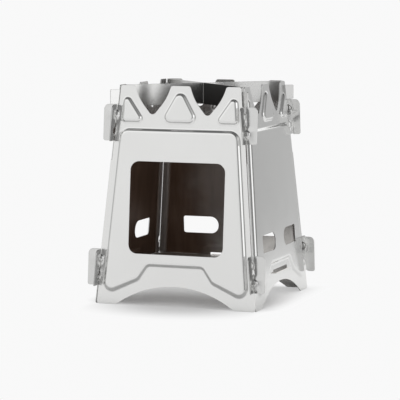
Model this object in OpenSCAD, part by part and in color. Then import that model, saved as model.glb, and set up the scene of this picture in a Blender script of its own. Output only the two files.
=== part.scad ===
// Flat-pack twig stove: four leaning sheet panels hooked together at the corners,
// a perforated fire plate tabbed into three of them, and a crossed pot stand.
// Millimetres, +Z up, front towards -Y, origin on the ground under the middle of the stove.

/* [Overall] */
// Outside width of the square base
base_w = 130; // [120:1:145]
// Outside width of the square top
top_w = 101; // [94:1:112]
// Height of the crown above the ground
stove_h = 167.5; // [160:0.5:185]
// Thickness of the panel and fire plate sheet
sheet_t = 0.8; // [0.6:0.1:1.2]

/* [Crown] */
// Width of a middle prong at its tip
mid_prong_w = 15.2; // [10:0.2:20]
// Width of a notch in the crown at its mouth
notch_w = 29.4; // [29:0.2:31]
// Width of a notch at its waist, where its sides bend
notch_waist_w = 23.2; // [18:0.2:23.4]
// Depth of the waist of a notch
notch_waist_depth = 9.7; // [8:0.1:11.6]
// Radius of the bend at the waist of a notch
notch_waist_r = 40; // [20:1:42]
// Depth of the point where the sides of a notch would meet
notch_point_depth = 23.7; // [22.7:0.1:27]
// Radius at the bottom of a notch in the crown
notch_r = 3.2; // [2:0.1:5]
// Radius at the tips of the prongs
prong_r = 2; // [1:0.1:3]

/* [Feet] */
// Width of the arch between the feet
arch_w = 96; // [80:1:104]
// Height of the arch between the feet
arch_h = 15.5; // [8:0.5:18]
// Radius at the outer corner of a foot
foot_r = 2; // [0.5:0.1:4]

/* [Pressed relief] */
// How far the pressed areas stand out
press_h = 1.3; // [0.8:0.1:2]
// Width of the sloping side of a pressed area
press_slope_w = 1.5; // [1:0.1:2.5]
// Flat border between the panel's side edge and the pressed field
field_border = 5.4; // [4:0.1:8]
// Drop from the crown to the top of the pressed field
field_drop = 33.2; // [30:0.2:40]
// Radius at the top corners of the pressed field
field_r = 8; // [5:0.5:12]
// Height of the lobes at the bottom corners of the pressed field, before rounding
lobe_q = 6.4; // [4:0.2:10]
// Radius of the two lobes
lobe_r = 6.6; // [5:0.2:9]
// Height of the flat step over the fire plate's slot
step_h = 30.6; // [28:0.2:36]
// Width of the flat step over the fire plate's slot
step_w = 44; // [40:0.5:50]
// Height at which the step's sides turn towards the feet
step_foot_h = 19.6; // [16:0.2:24]
// Run of each side of the step
step_run = 7.6; // [5:0.2:10]
// Radius in the inner corners of the step
step_r = 4; // [2:0.5:6]
// Radius at the outer corners of the step
step_foot_r = 7; // [4:0.5:10]
// Drop from the crown to the base line of the prong triangles
triangle_drop = 28.4; // [26:0.2:32]
// Width of the middle triangle, corner to corner before rounding
mid_triangle_w = 32; // [26:0.5:36]
// Height of the middle triangle before rounding
mid_triangle_h = 27.6; // [22:0.2:30]
// Radius at the corners of the middle triangle
mid_triangle_r = 5; // [3.5:0.1:6]
// Width of a corner triangle along its base before rounding
side_triangle_w = 20; // [16:0.2:24]
// Height of a corner triangle before rounding
side_triangle_h = 25.2; // [20:0.2:28]
// Radius at the corners of a corner triangle
side_triangle_r = 3.4; // [2.6:0.1:4.5]

/* [Front window] */
// Width of the feeding window
window_w = 76.6; // [60:0.2:84]
// Height of the feeding window
window_h = 70.4; // [50:0.2:78]
// Height of the window sill along the panel
window_sill = 39.8; // [36:0.2:48]
// Radius at the window corners
window_r = 7; // [3:0.5:12]

/* [Air vents] */
// Width of one air vent
vent_w = 30; // [20:0.5:36]
// Height of one air vent
vent_h = 13.8; // [13.4:0.2:20]
// Height of the lower edge of the vents along the panel
vent_sill = 41; // [38:0.2:50]
// Distance between the two vents of a panel
vent_gap = 20; // [10:0.5:30]
// Radius of the round end of a vent, which faces its twin
vent_end_r = 6.6; // [3:0.1:6.8]
// Radius at the two outer corners of a vent
vent_corner_r = 1.8; // [0.8:0.1:3]

/* [Corner hooks] */
// Height of one hook ear
ear_h = 28; // [24:0.5:34]
// How far an ear stands out past the corner, at its mid height
ear_out = 9.2; // [7.5:0.1:12]
// Drop from the crown to the top of the upper ears
ear_drop = 14.8; // [12:0.2:18]
// Height of the lower edge of the lower ears along the panel
ear_low = 14.2; // [11:0.2:20]
// Radius at the top outer corner of an ear
ear_top_r = 4; // [2:0.1:6]
// Radius at the bottom outer corner of an ear
ear_bottom_r = 1.6; // [0.8:0.1:3]
// Clearance between two panels where they cross or meet
hook_clear = 0.3; // [0.2:0.05:0.5]
// Spare depth of the hook slots
hook_spare = 0.6; // [0.3:0.1:1.5]
// Widening at the mouth of a hook slot
hook_flare = 1; // [0.5:0.1:1.5]
// Height of the round dimple that steadies a hook in its slot
dimple_h = 0.9; // [0.5:0.1:1.2]
// Diameter of the dimple at its foot
dimple_d = 6.6; // [5:0.1:8]
// Diameter of the dimple at its crest
dimple_crest_d = 4.4; // [3:0.1:5]
// Distance from the closed end of an ear to its dimple
dimple_off = 7.4; // [5:0.1:9]

/* [Fire plate] */
// Height of the underside of the fire plate
fire_plate_z = 22.8; // [20:0.1:28]
// Clearance all round between the fire plate and the panels
fire_plate_clear = 0.5; // [0.3:0.1:1.5]
// Chamfer at the corners of the fire plate
fire_plate_chamfer = 5; // [2:0.5:10]
// Width of a fire plate tab
tab_w = 32.8; // [20:0.2:38]
// How far a fire plate tab stands out past the panel
tab_out = 2.5; // [1:0.1:5]
// Clearance at each end of a tab in its slot
tab_end_clear = 0.7; // [0.3:0.1:1.5]
// Clearance under a tab in its slot
tab_seat_clear = 0.1; // [0.05:0.05:0.3]
// Clearance over a tab in its slot
tab_over_clear = 1.9; // [0.6:0.1:3]
// Diameter of the ash holes
ash_hole_d = 6; // [4:0.5:9]
// Spacing of the ash holes
ash_pitch = 13; // [10:0.5:16]
// Flat rim outside the field of ash holes
ash_rim = 14; // [8:0.5:24]

/* [Pot stand] */
// Thickness of the pot stand plates
pot_t = 1; // [0.8:0.1:1.5]
// Height of the pot stand plates
pot_h = 16.5; // [14:0.5:20]
// How far an end lug stands out past the corner of the stove
lug_out = 6.2; // [4:0.1:9]
// Drop from the top of a pot stand plate to the top of its lugs
lug_drop = 3.4; // [2:0.1:6]
// Radius at the corners of a lug
lug_r = 1; // [0.4:0.1:2]
// Clearance between a pot stand plate and the corner that it passes through
pot_clear = 0.3; // [0.2:0.05:0.6]
// Clearance between a lug and the ear that it sits on
lug_seat_clear = 0.1; // [0.05:0.05:0.3]
// Clearance at each side of the cross slots
cross_clear = 0.15; // [0.1:0.05:0.4]

/* [Hidden] */

// Smoothness of the true round cuts, and steps in a rounded corner of an outline
round_fn = 96;
corner_steps = 6;

// Colours of the bright panels, the pot stand and the fire plate
bright_steel = "#d3d3d1";
pot_steel = "#c4c4c2";
fire_steel = "#8b8885";

// A panel's lean, its length up the slope and its half widths
base_half = base_w / 2;
top_half = top_w / 2;
lean = atan((base_half - top_half) / stove_h);
slope_l = stove_h / cos(lean);
taper = (base_half - top_half) / slope_l;
function half_w(q) = base_half - taper * q;
function half_w_at_z(z) = base_half - (base_half - top_half) * z / stove_h;

// Cut-outs run past both faces of the sheet by this much
past = 4;
// The feet run below the ground by this much before they are trimmed level
foot_trim = 0.5;

// Ear heights along the panel
upper_ear_top = slope_l - ear_drop;
upper_ear_low = upper_ear_top - ear_h;

// The left edge stands back under an upper ear as far as a panel drops on to its neighbours' hooks
left_gap_q = upper_ear_low - ear_h / 2 - hook_spare;

// Above the ears both edges stand back, to pass a pot stand plate through the corner
crown_cut = sheet_t + (pot_t / 2 + pot_clear) * sqrt(2);
// A hook slot takes the neighbour's sheet with its dimple. Where a neighbour closes the corner,
// the edge of a panel stops behind the neighbour's sheet, in line with its slots.
slot_in = sheet_t + hook_clear;
slot_out = dimple_h + hook_clear;
// Radius in the inner corners of slots
slot_r = 0.4;

// Crown: the middle of a notch, across the panel
notch_mid_s = (mid_prong_w + notch_w) / 2;

// Arch between the feet
arch_r = (pow(arch_w / 2, 2) + pow(arch_h, 2)) / (2 * arch_h);

// Pressed relief: how far the side slopes in for each millimetre of rise, and how deep it starts
press_slope = press_slope_w / press_h;
press_bite = sheet_t / 2;

// Fire plate seats in its slots
slot_low = fire_plate_z / cos(lean) - tab_seat_clear;
slot_high = (fire_plate_z + sheet_t) / cos(lean) + tab_over_clear;
fire_plate_half = half_w_at_z(fire_plate_z + sheet_t) - sheet_t / cos(lean) - fire_plate_clear;

// Pot stand heights and reach along the diagonal
pot_top_z = stove_h;
pot_low_z = stove_h - pot_h;
pot_mid_z = (pot_top_z + pot_low_z) / 2;
lug_low_z = upper_ear_top * cos(lean) + lug_seat_clear;
lug_top_z = pot_top_z - lug_drop;
pot_reach = sqrt(2) * (top_half - sheet_t) - pot_t / 2 - pot_clear;
lug_reach = sqrt(2) * half_w_at_z((lug_low_z + lug_top_z) / 2) + lug_out;

// Outline helpers: unit vector, corner rounding and a parallel inset

function unit(v) = v / norm(v);
function wrap(i, n) = (i + n) % n;
function turn_angle(a) = a > 180 ? a - 360 : a < -180 ? a + 360 : a;

// Points of one rounded corner at p, between its neighbours a and b
function corner(a, p, b, r) =
    let(
        u = unit(a - p),
        v = unit(b - p),
        half = acos(u * v) / 2,
        c = p + unit(u + v) * r / sin(half),
        from = p + u * r / tan(half) - c,
        to = p + v * r / tan(half) - c,
        start = atan2(from[1], from[0]),
        sweep = turn_angle(atan2(to[1], to[0]) - start)
    )
    [for (i = [0 : corner_steps])
        c + r * [cos(start + sweep * i / corner_steps), sin(start + sweep * i / corner_steps)]];

// A closed outline from corner points, with a radius at each (0 keeps the corner sharp)
function rounded(points, radii) =
    let(n = len(points))
    [for (i = [0 : n - 1])
        each radii[i] == 0 ? [points[i]]
            : corner(points[wrap(i - 1, n)], points[i], points[wrap(i + 1, n)], radii[i])];

// Inward normal of the side from a to b of a counterclockwise outline
function inward(a, b) = let(d = unit(b - a)) [-d[1], d[0]];

// The outline's corners moved inwards by d
function inset(points, d) =
    let(n = len(points))
    [for (i = [0 : n - 1])
        let(
            m1 = inward(points[wrap(i - 1, n)], points[i]),
            m2 = inward(points[i], points[wrap(i + 1, n)])
        )
        points[i] + d * (m1 + m2) / (1 + m1 * m2)];

// Radii of the outline moved inwards by d: outer corners tighten, inner corners open
function inset_radii(points, radii, d) =
    let(n = len(points))
    [for (i = [0 : n - 1])
        let(
            e1 = points[i] - points[wrap(i - 1, n)],
            e2 = points[wrap(i + 1, n)] - points[i],
            outer = e1[0] * e2[1] - e1[1] * e2[0] > 0
        )
        outer ? radii[i] - d : radii[i] + d];

function mirrored(points) = [for (i = [len(points) - 1 : -1 : 0]) [-points[i][0], points[i][1]]];
function reversed(list) = [for (i = [len(list) - 1 : -1 : 0]) list[i]];

// One pressed area: a loft from the outline at the sheet to the outline at the crest.
// The outline can be seen whole from the point hub, so both ends are fans around it.
module press_form(points, radii, hub) {
    out = -press_bite * press_slope;
    low = rounded(inset(points, out), inset_radii(points, radii, out));
    high = rounded(inset(points, press_slope_w), inset_radii(points, radii, press_slope_w));
    n = len(low);
    polyhedron(
        points = concat(
            [for (p = low) [p[0], p[1], -press_bite]],
            [for (p = high) [p[0], p[1], press_h]],
            [[hub[0], hub[1], -press_bite], [hub[0], hub[1], press_h]]
        ),
        faces = [for (i = [0 : n - 1]) let(j = (i + 1) % n) each [
            [i, n + i, n + j],
            [i, n + j, j],
            [2 * n, i, j],
            [2 * n + 1, n + j, n + i]
        ]]
    );
}

// The large pressed field, stepped over the fire plate's slot and lobed at the feet
module pressed_field() {
    top_q = slope_l - field_drop;
    half = [
        [half_w(lobe_q) - field_border, lobe_q],
        [half_w(top_q) - field_border, top_q]
    ];
    step = [
        [step_w / 2, step_h],
        [step_w / 2 + step_run, step_foot_h]
    ];
    points = concat(step, half, mirrored(half), mirrored(step));
    half_radii = [step_r, step_foot_r, lobe_r, field_r];
    press_form(points, concat(half_radii, reversed(half_radii)), [0, (top_q + step_h) / 2]);
}

// The rounded triangle pressed into the middle prong
module pressed_mid_triangle() {
    q = slope_l - triangle_drop;
    points = [[-mid_triangle_w / 2, q], [mid_triangle_w / 2, q], [0, q + mid_triangle_h]];
    press_form(points, [for (p = points) mid_triangle_r], [0, q + mid_triangle_h / 3]);
}

// The rounded triangle pressed into a corner prong, upright along the panel's edge
module pressed_side_triangle() {
    q = slope_l - triangle_drop;
    outer = half_w(q) - field_border;
    tip = half_w(q + side_triangle_h) - field_border;
    points = [[outer - side_triangle_w, q], [outer, q], [tip, q + side_triangle_h]];
    hub = (points[0] + points[1] + points[2]) / 3;
    press_form(points, [for (p = points) side_triangle_r], hub);
}

module pressed_areas() {
    pressed_field();
    pressed_mid_triangle();
    pressed_side_triangle();
    mirror([1, 0, 0]) pressed_side_triangle();
}

// Corners of a hook slot on the right of a panel, from the outer lip of its mouth to its inner end
function hook_slot(mouth, end) =
    let(throat = mouth + sign(end - mouth) * hook_flare)
    [
        [half_w(mouth) + slot_out + hook_flare, mouth],
        [half_w(throat) + slot_out, throat],
        [half_w(end) + slot_out, end],
        [half_w(end) - slot_in, end]
    ];
slot_radii = [0, 0, slot_r, slot_r];

// The ears are upright, so their outer edge stays at one distance from the middle of the panel
function ear_reach(q) = half_w(q + ear_h / 2) + ear_out;

// Corners of a right ear with its lower edge at height q, upwards, with a slot that opens upwards
function right_ear(q) = concat(
    [[ear_reach(q), q], [ear_reach(q), q + ear_h]],
    hook_slot(q + ear_h, q + (ear_h - hook_spare) / 2)
);
right_ear_radii = concat([ear_bottom_r, ear_top_r], slot_radii);

// Corners of a left ear, mirrored to the right and downwards, with a slot that opens downwards
function left_ear(q) = concat(
    [[ear_reach(q), q + ear_h], [ear_reach(q), q]],
    hook_slot(q, q + (ear_h + hook_spare) / 2)
);
left_ear_radii = concat([ear_top_r, ear_bottom_r], slot_radii);

// Corners of the right half of the crown, from the corner prong to the middle prong
right_crown = [
    [half_w(upper_ear_top) - crown_cut, upper_ear_top],
    [half_w(slope_l) - crown_cut, slope_l],
    [notch_mid_s + notch_w / 2, slope_l],
    [notch_mid_s + notch_waist_w / 2, slope_l - notch_waist_depth],
    [notch_mid_s, slope_l - notch_point_depth],
    [notch_mid_s - notch_waist_w / 2, slope_l - notch_waist_depth],
    [notch_mid_s - notch_w / 2, slope_l]
];
right_crown_radii = [slot_r, prong_r, prong_r, notch_waist_r, notch_r, notch_waist_r, prong_r];

// The right edge closes the corner below the lower ear, and stands back above it
right_edge = concat(
    [[half_w(0), -foot_trim], [half_w(ear_low), ear_low]],
    right_ear(ear_low),
    [[half_w(upper_ear_low) - slot_in, upper_ear_low]],
    right_ear(upper_ear_low),
    [[half_w(upper_ear_top) - slot_in, upper_ear_top]]
);
right_edge_radii = concat([foot_r, 0], right_ear_radii, [0], right_ear_radii, [0]);

// The left edge closes the corner between the ears, apart from the hook's travel under the upper one
left_edge = concat(
    left_ear(upper_ear_low),
    [[half_w(left_gap_q) - slot_in, left_gap_q], [half_w(left_gap_q), left_gap_q]],
    [[half_w(ear_low + ear_h), ear_low + ear_h]],
    left_ear(ear_low),
    [[half_w(0) - slot_in, -foot_trim]]
);
left_edge_radii = concat(left_ear_radii, [0, 0, 0], left_ear_radii, [foot_r]);

// Outline of the panel sheet: feet, leaning edges with their hook ears, and crown
module panel_outline() {
    difference() {
        polygon(rounded(
            concat(right_edge, right_crown, mirrored(right_crown), [for (p = left_edge) [-p[0], p[1]]]),
            concat(right_edge_radii, right_crown_radii, reversed(right_crown_radii), left_edge_radii)
        ));
        translate([0, arch_h - arch_r]) circle(r = arch_r, $fn = round_fn);
    }
}

// Round dimple at the corner line on the right of a panel, at height q
module dimple(q) {
    rise = dimple_h + press_bite;
    grow = (dimple_d - dimple_crest_d) / 2 / dimple_h;
    translate([half_w(q), q, -press_bite])
        cylinder(h = rise, r1 = dimple_crest_d / 2 + grow * rise, r2 = dimple_crest_d / 2, $fn = round_fn);
}

// Dimples sit on the closed half of each ear
module dimples() {
    for (q = [ear_low, upper_ear_low]) {
        dimple(q + dimple_off);
        mirror([1, 0, 0]) dimple(q + ear_h - dimple_off);
    }
}

// Feeding window of the front panel
module window() {
    half = window_w / 2;
    top = window_sill + window_h;
    points = [[-half, window_sill], [half, window_sill], [half, top], [-half, top]];
    polygon(rounded(points, [for (p = points) window_r]));
}

// One air vent on the right of a panel, with its round end towards its twin
module vent() {
    near = vent_gap / 2;
    far = near + vent_w;
    top = vent_sill + vent_h;
    polygon(rounded(
        [[near, vent_sill], [far, vent_sill], [far, top], [near, top]],
        [vent_end_r, vent_corner_r, vent_corner_r, vent_end_r]
    ));
}

// Slot that takes a tab of the fire plate
module tab_slot() {
    half = tab_w / 2 + tab_end_clear;
    points = [[-half, slot_low], [half, slot_low], [half, slot_high], [-half, slot_high]];
    polygon(rounded(points, [for (p = points) slot_r]));
}

// Vents and slot of the three closed panels
module air_cuts() {
    vent();
    mirror([1, 0]) vent();
    tab_slot();
}

// A pressed panel lying flat: outer face at z 0, relief towards +z. The children are its cut-outs.
module flat_panel() {
    difference() {
        union() {
            translate([0, 0, -sheet_t]) linear_extrude(sheet_t) panel_outline();
            pressed_areas();
            dimples();
        }
        translate([0, 0, -sheet_t]) pressed_areas();
        translate([0, 0, -sheet_t]) dimples();
        translate([0, 0, -sheet_t - past]) linear_extrude(sheet_t + press_h + 2 * past) children();
    }
}

// Stands a flat panel on one side of the stove, leaning inwards, with its feet trimmed level
module stand_panel(turn) {
    difference() {
        rotate([0, 0, turn])
            translate([0, -base_half, 0])
                rotate([90 - lean, 0, 0])
                    children();
        translate([-base_w, -base_w, -2 * past]) cube([2 * base_w, 2 * base_w, 2 * past]);
    }
}

module front_panel() {
    color(bright_steel) stand_panel(0) flat_panel() window();
}

module right_panel() {
    color(bright_steel) stand_panel(90) flat_panel() air_cuts();
}

module back_panel() {
    color(bright_steel) stand_panel(180) flat_panel() air_cuts();
}

module left_panel() {
    color(bright_steel) stand_panel(270) flat_panel() air_cuts();
}

// Fire plate outline: a chamfered square with tabs to the right, back and left
module fire_plate_outline() {
    half = fire_plate_half;
    cut = half - fire_plate_chamfer;
    reach = half_w_at_z(fire_plate_z) + tab_out;
    polygon([
        [-cut, -half], [cut, -half], [half, -cut], [half, cut],
        [cut, half], [-cut, half], [-half, cut], [-half, -cut]
    ]);
    for (turn = [0, 90, 180])
        rotate(turn) translate([0, -tab_w / 2]) square([reach, tab_w]);
}

// Ash holes in rows, as many as fit inside the rim
module ash_holes() {
    rows = floor((fire_plate_half - ash_rim) / ash_pitch);
    for (i = [-rows : rows], j = [-rows : rows])
        translate([i * ash_pitch, j * ash_pitch]) circle(d = ash_hole_d, $fn = round_fn);
}

module fire_plate() {
    color(fire_steel)
        translate([0, 0, fire_plate_z])
            linear_extrude(sheet_t)
                difference() {
                    fire_plate_outline();
                    ash_holes();
                }
}

// Outline of a pot stand plate: x along the diagonal, y up, with a lug at each end
module pot_plate_outline() {
    right = [
        [pot_reach, pot_low_z],
        [pot_reach, lug_low_z],
        [lug_reach, lug_low_z],
        [lug_reach, lug_top_z],
        [pot_reach, lug_top_z],
        [pot_reach, pot_top_z]
    ];
    radii = [lug_r, 0, lug_r, lug_r, 0, lug_r];
    polygon(rounded(concat(right, mirrored(right)), concat(radii, reversed(radii))));
}

// A pot stand plate on a diagonal, with its cross slot between two heights
module pot_plate(turn, slot_from, slot_to) {
    rotate([0, 0, turn])
        rotate([90, 0, 0])
            translate([0, 0, -pot_t / 2])
                linear_extrude(pot_t)
                    difference() {
                        pot_plate_outline();
                        translate([-pot_t / 2 - cross_clear, slot_from])
                            square([pot_t + 2 * cross_clear, slot_to - slot_from]);
                    }
}

module pot_plate_lower() {
    color(pot_steel) pot_plate(45, pot_mid_z - lug_seat_clear, pot_top_z + past);
}

module pot_plate_upper() {
    color(pot_steel) pot_plate(-45, pot_low_z - past, pot_mid_z + lug_seat_clear);
}

front_panel();
right_panel();
back_panel();
left_panel();
fire_plate();
pot_plate_lower();
pot_plate_upper();
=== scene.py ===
"""Looks of the flat-pack twig stove: pressed stainless panels, fire plate and crossed pot stand."""

import logging
import math
from collections.abc import Callable
from dataclasses import dataclass, field
from enum import Enum

import bpy
import numpy as np
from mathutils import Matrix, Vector
from mathutils.geometry import delaunay_2d_cdt


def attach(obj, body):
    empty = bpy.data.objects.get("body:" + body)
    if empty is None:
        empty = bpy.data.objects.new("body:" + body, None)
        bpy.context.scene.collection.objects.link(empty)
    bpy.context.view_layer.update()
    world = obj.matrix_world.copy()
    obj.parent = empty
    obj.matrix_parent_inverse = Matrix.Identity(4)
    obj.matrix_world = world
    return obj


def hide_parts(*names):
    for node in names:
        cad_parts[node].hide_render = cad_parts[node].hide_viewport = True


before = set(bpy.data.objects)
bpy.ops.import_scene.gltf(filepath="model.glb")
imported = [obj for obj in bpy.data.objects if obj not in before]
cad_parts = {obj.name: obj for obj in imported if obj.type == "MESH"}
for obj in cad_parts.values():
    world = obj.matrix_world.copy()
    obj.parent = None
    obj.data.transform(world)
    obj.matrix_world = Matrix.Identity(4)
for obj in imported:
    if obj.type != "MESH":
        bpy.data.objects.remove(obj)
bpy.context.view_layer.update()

LOG = logging.getLogger("twig_stove")
MM = 0.001
IMAGE_PX = 400
STOVE_BODY = "stove"
SHARP_DEGREES = 35
SAME_POINT = 1e-5
SPAN_SLACK = 1e-9
KEEP_ALL_TRIANGLES = 0
MERGE_DISTANCE = 1e-6
NOISE_MIDDLE = 0.5
FULL_TURN = 360
RAMP_FRONT = 0.5

# Kinds of node sockets
VALUE = "NodeSocketFloat"
VECTOR = "NodeSocketVector"

# Types: rows hold x, y and a corner radius, and a span is a pair such as a low and a high end
Rows = list[tuple[float, float, float]]
Span = tuple[float, float]
Triple = tuple[float, float, float]
Socket = bpy.types.NodeSocket


class Side(Enum):
    """Sides of the stove, each with its turn about the vertical in degrees."""

    FRONT = 0
    RIGHT = 90
    BACK = 180
    LEFT = 270


class StainAndReflection(Enum):
    """Where a steel surface carries a sooty heat stain in the tower, and where the pot stand carries a
    painted dark reflection.
    """

    NONE = "none"
    TOWER = "tower"
    # The pot stand's front right arm, darkened as a painted dark reflection.
    STAND = "stand"


class Face(Enum):
    """Material slots of a sheet piece."""

    OUTER = 0
    INNER = 1
    EDGE = 2


# Outlines and sheet meshes


def unit(vectors: np.ndarray) -> np.ndarray:
    """Rows of vectors scaled to length one."""
    return vectors / np.linalg.norm(vectors, axis=-1, keepdims=True)


def other_half(rows: Rows) -> Rows:
    """Rows of x, y and radius reflected in x = 0, in the opposite order."""
    return [(-x, y, r) for x, y, r in rows[::-1]]


@dataclass(frozen=True)
class Outline:
    """A closed counterclockwise outline in millimetres: corner points with a radius at each."""

    corners: np.ndarray
    radii: np.ndarray

    @staticmethod
    def of(rows: Rows) -> "Outline":
        """Outline from rows of x, y and corner radius, counterclockwise."""
        table = np.array(rows, dtype=float)
        return Outline(table[:, :2], table[:, 2])

    @staticmethod
    def box(x: Span, y: Span, r: Span) -> "Outline":
        """Rectangle from its ranges of x and y and the radii of its left and right corners."""
        rows = [(x[0], y[0], r[0]), (x[1], y[0], r[1]), (x[1], y[1], r[1]), (x[0], y[1], r[0])]
        return Outline.of(rows)

    def mirrored(self) -> "Outline":
        """The outline reflected in x = 0, still counterclockwise."""
        return Outline(self.corners[::-1] * np.array([-1.0, 1.0]), self.radii[::-1])

    def inset(self, distance: float) -> "Outline":
        """The outline with every side moved inwards, so that outer corners tighten and inner ones open.

        Each corner moves by distance times (m1 + m2) / (1 + m1.m2), where m1 and m2 are the inward
        normals of its two sides.

        Args:
            distance: how far the sides move; negative moves them outwards.

        Returns:
            The moved outline.
        """
        before = unit(self.corners - np.roll(self.corners, 1, axis=0))
        after = np.roll(before, -1, axis=0)
        m1 = np.stack([-before[:, 1], before[:, 0]], axis=1)
        m2 = np.stack([-after[:, 1], after[:, 0]], axis=1)
        moved = self.corners + distance * (m1 + m2) / (1 + np.sum(m1 * m2, axis=1, keepdims=True))
        outer = before[:, 0] * after[:, 1] - before[:, 1] * after[:, 0] > 0
        radii = np.where(outer, self.radii - distance, self.radii + distance)
        return Outline(moved, np.where(self.radii > 0, np.maximum(radii, 0.0), 0.0))

    def points(self, steps: int = 10, span: float = 5.0) -> np.ndarray:
        """Points round the outline: an arc at every corner, and straight sides cut into short spans.

        Args:
            steps: spans in each corner's arc.
            span: longest straight span in millimetres.

        Returns:
            An array of points, one row each, without repeats.
        """
        u = unit(np.roll(self.corners, 1, axis=0) - self.corners)
        v = unit(np.roll(self.corners, -1, axis=0) - self.corners)
        half = np.arccos(np.clip(np.sum(u * v, axis=1), -1, 1)) / 2
        centre = self.corners + unit(u + v) * (self.radii / np.sin(half))[:, None]
        reach = (self.radii / np.tan(half))[:, None]
        first = self.corners + u * reach - centre
        last = self.corners + v * reach - centre
        start = np.arctan2(first[:, 1], first[:, 0])
        sweep = np.arctan2(last[:, 1], last[:, 0]) - start
        sweep = (sweep + np.pi) % (2 * np.pi) - np.pi
        angle = start[:, None] + sweep[:, None] * np.linspace(0, 1, steps + 1)
        way = np.stack([np.cos(angle), np.sin(angle)], axis=2)
        ring = (centre[:, None] + self.radii[:, None, None] * way).reshape(-1, 2)
        keep = np.linalg.norm(ring - np.roll(ring, 1, axis=0), axis=1) > SAME_POINT
        return split_spans(ring[keep], span)


def split_spans(ring: np.ndarray, span: float) -> np.ndarray:
    """Cuts the sides of a closed ring into equal parts no longer than span.

    Args:
        ring: points of the ring.
        span: longest part.

    Returns:
        The ring with points added along its long sides.
    """
    step = np.roll(ring, -1, axis=0) - ring
    parts = np.maximum(np.ceil(np.linalg.norm(step, axis=1) / span - SPAN_SLACK).astype(int), 1)
    side = np.repeat(np.arange(len(ring)), parts)
    first = np.repeat(np.cumsum(parts) - parts, parts)
    share = (np.arange(len(side)) - first) / np.repeat(parts, parts)
    return ring[side] + share[:, None] * step[side]


def circle(x: float, y: float, radius: float, count: int) -> np.ndarray:
    """Points round a circle, counterclockwise."""
    angle = np.linspace(0, 2 * np.pi, count, endpoint=False)
    return np.array([x, y]) + radius * np.stack([np.cos(angle), np.sin(angle)], axis=1)


def inside(points: np.ndarray, ring: np.ndarray) -> np.ndarray:
    """Tells which points lie inside a ring, by counting the sides that a ray to the right crosses.

    Args:
        points: points to test.
        ring: points of the closed ring.

    Returns:
        One truth value per point.
    """
    a = ring[None]
    b = np.roll(ring, -1, axis=0)[None]
    x = points[:, None, 0]
    y = points[:, None, 1]
    spans = (a[..., 1] > y) != (b[..., 1] > y)
    rise = np.where(b[..., 1] == a[..., 1], 1.0, b[..., 1] - a[..., 1])
    cross = a[..., 0] + (y - a[..., 1]) / rise * (b[..., 0] - a[..., 0])
    return np.sum(spans & (x < cross), axis=1) % 2 == 1


@dataclass(frozen=True)
class Ring:
    """Points on a sheet, with the height of the outer face and the cut-back of both faces there.

    Joined points are a closed ring of edges. Loose ones only let the sheet bend between the rings.
    """

    points: np.ndarray
    height: float = 0.0
    broken: float = 0.0
    joined: bool = True


def cut_edge(
    outline: Outline, broken: float, height: float = 0.0, hole: bool = False, span: float = 5.0
) -> tuple[Ring, Ring]:
    """A cut edge with its broken corner.

    Args:
        outline: the cut edge.
        broken: width of the broken corner.
        height: height of the sheet there.
        hole: whether the sheet lies outside the outline.
        span: longest straight span in millimetres.

    Returns:
        The edge itself, and a ring beside it on the sheet.
    """
    beside = outline.inset(-broken if hole else broken)
    return Ring(outline.points(span=span), height, broken), Ring(beside.points(span=span), height)


@dataclass(frozen=True)
class Plane:
    """Where a sheet lies: its origin in metres and the directions of its x, y and outward normal."""

    origin: np.ndarray
    along: np.ndarray
    up: np.ndarray
    out: np.ndarray

    def place(self, flat: np.ndarray, height: np.ndarray) -> np.ndarray:
        """Points in metres of flat points, and of heights along the outward normal, in millimetres."""
        lift = flat[:, :1] * self.along + flat[:, 1:] * self.up + height[:, None] * self.out
        return self.origin + MM * lift


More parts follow.
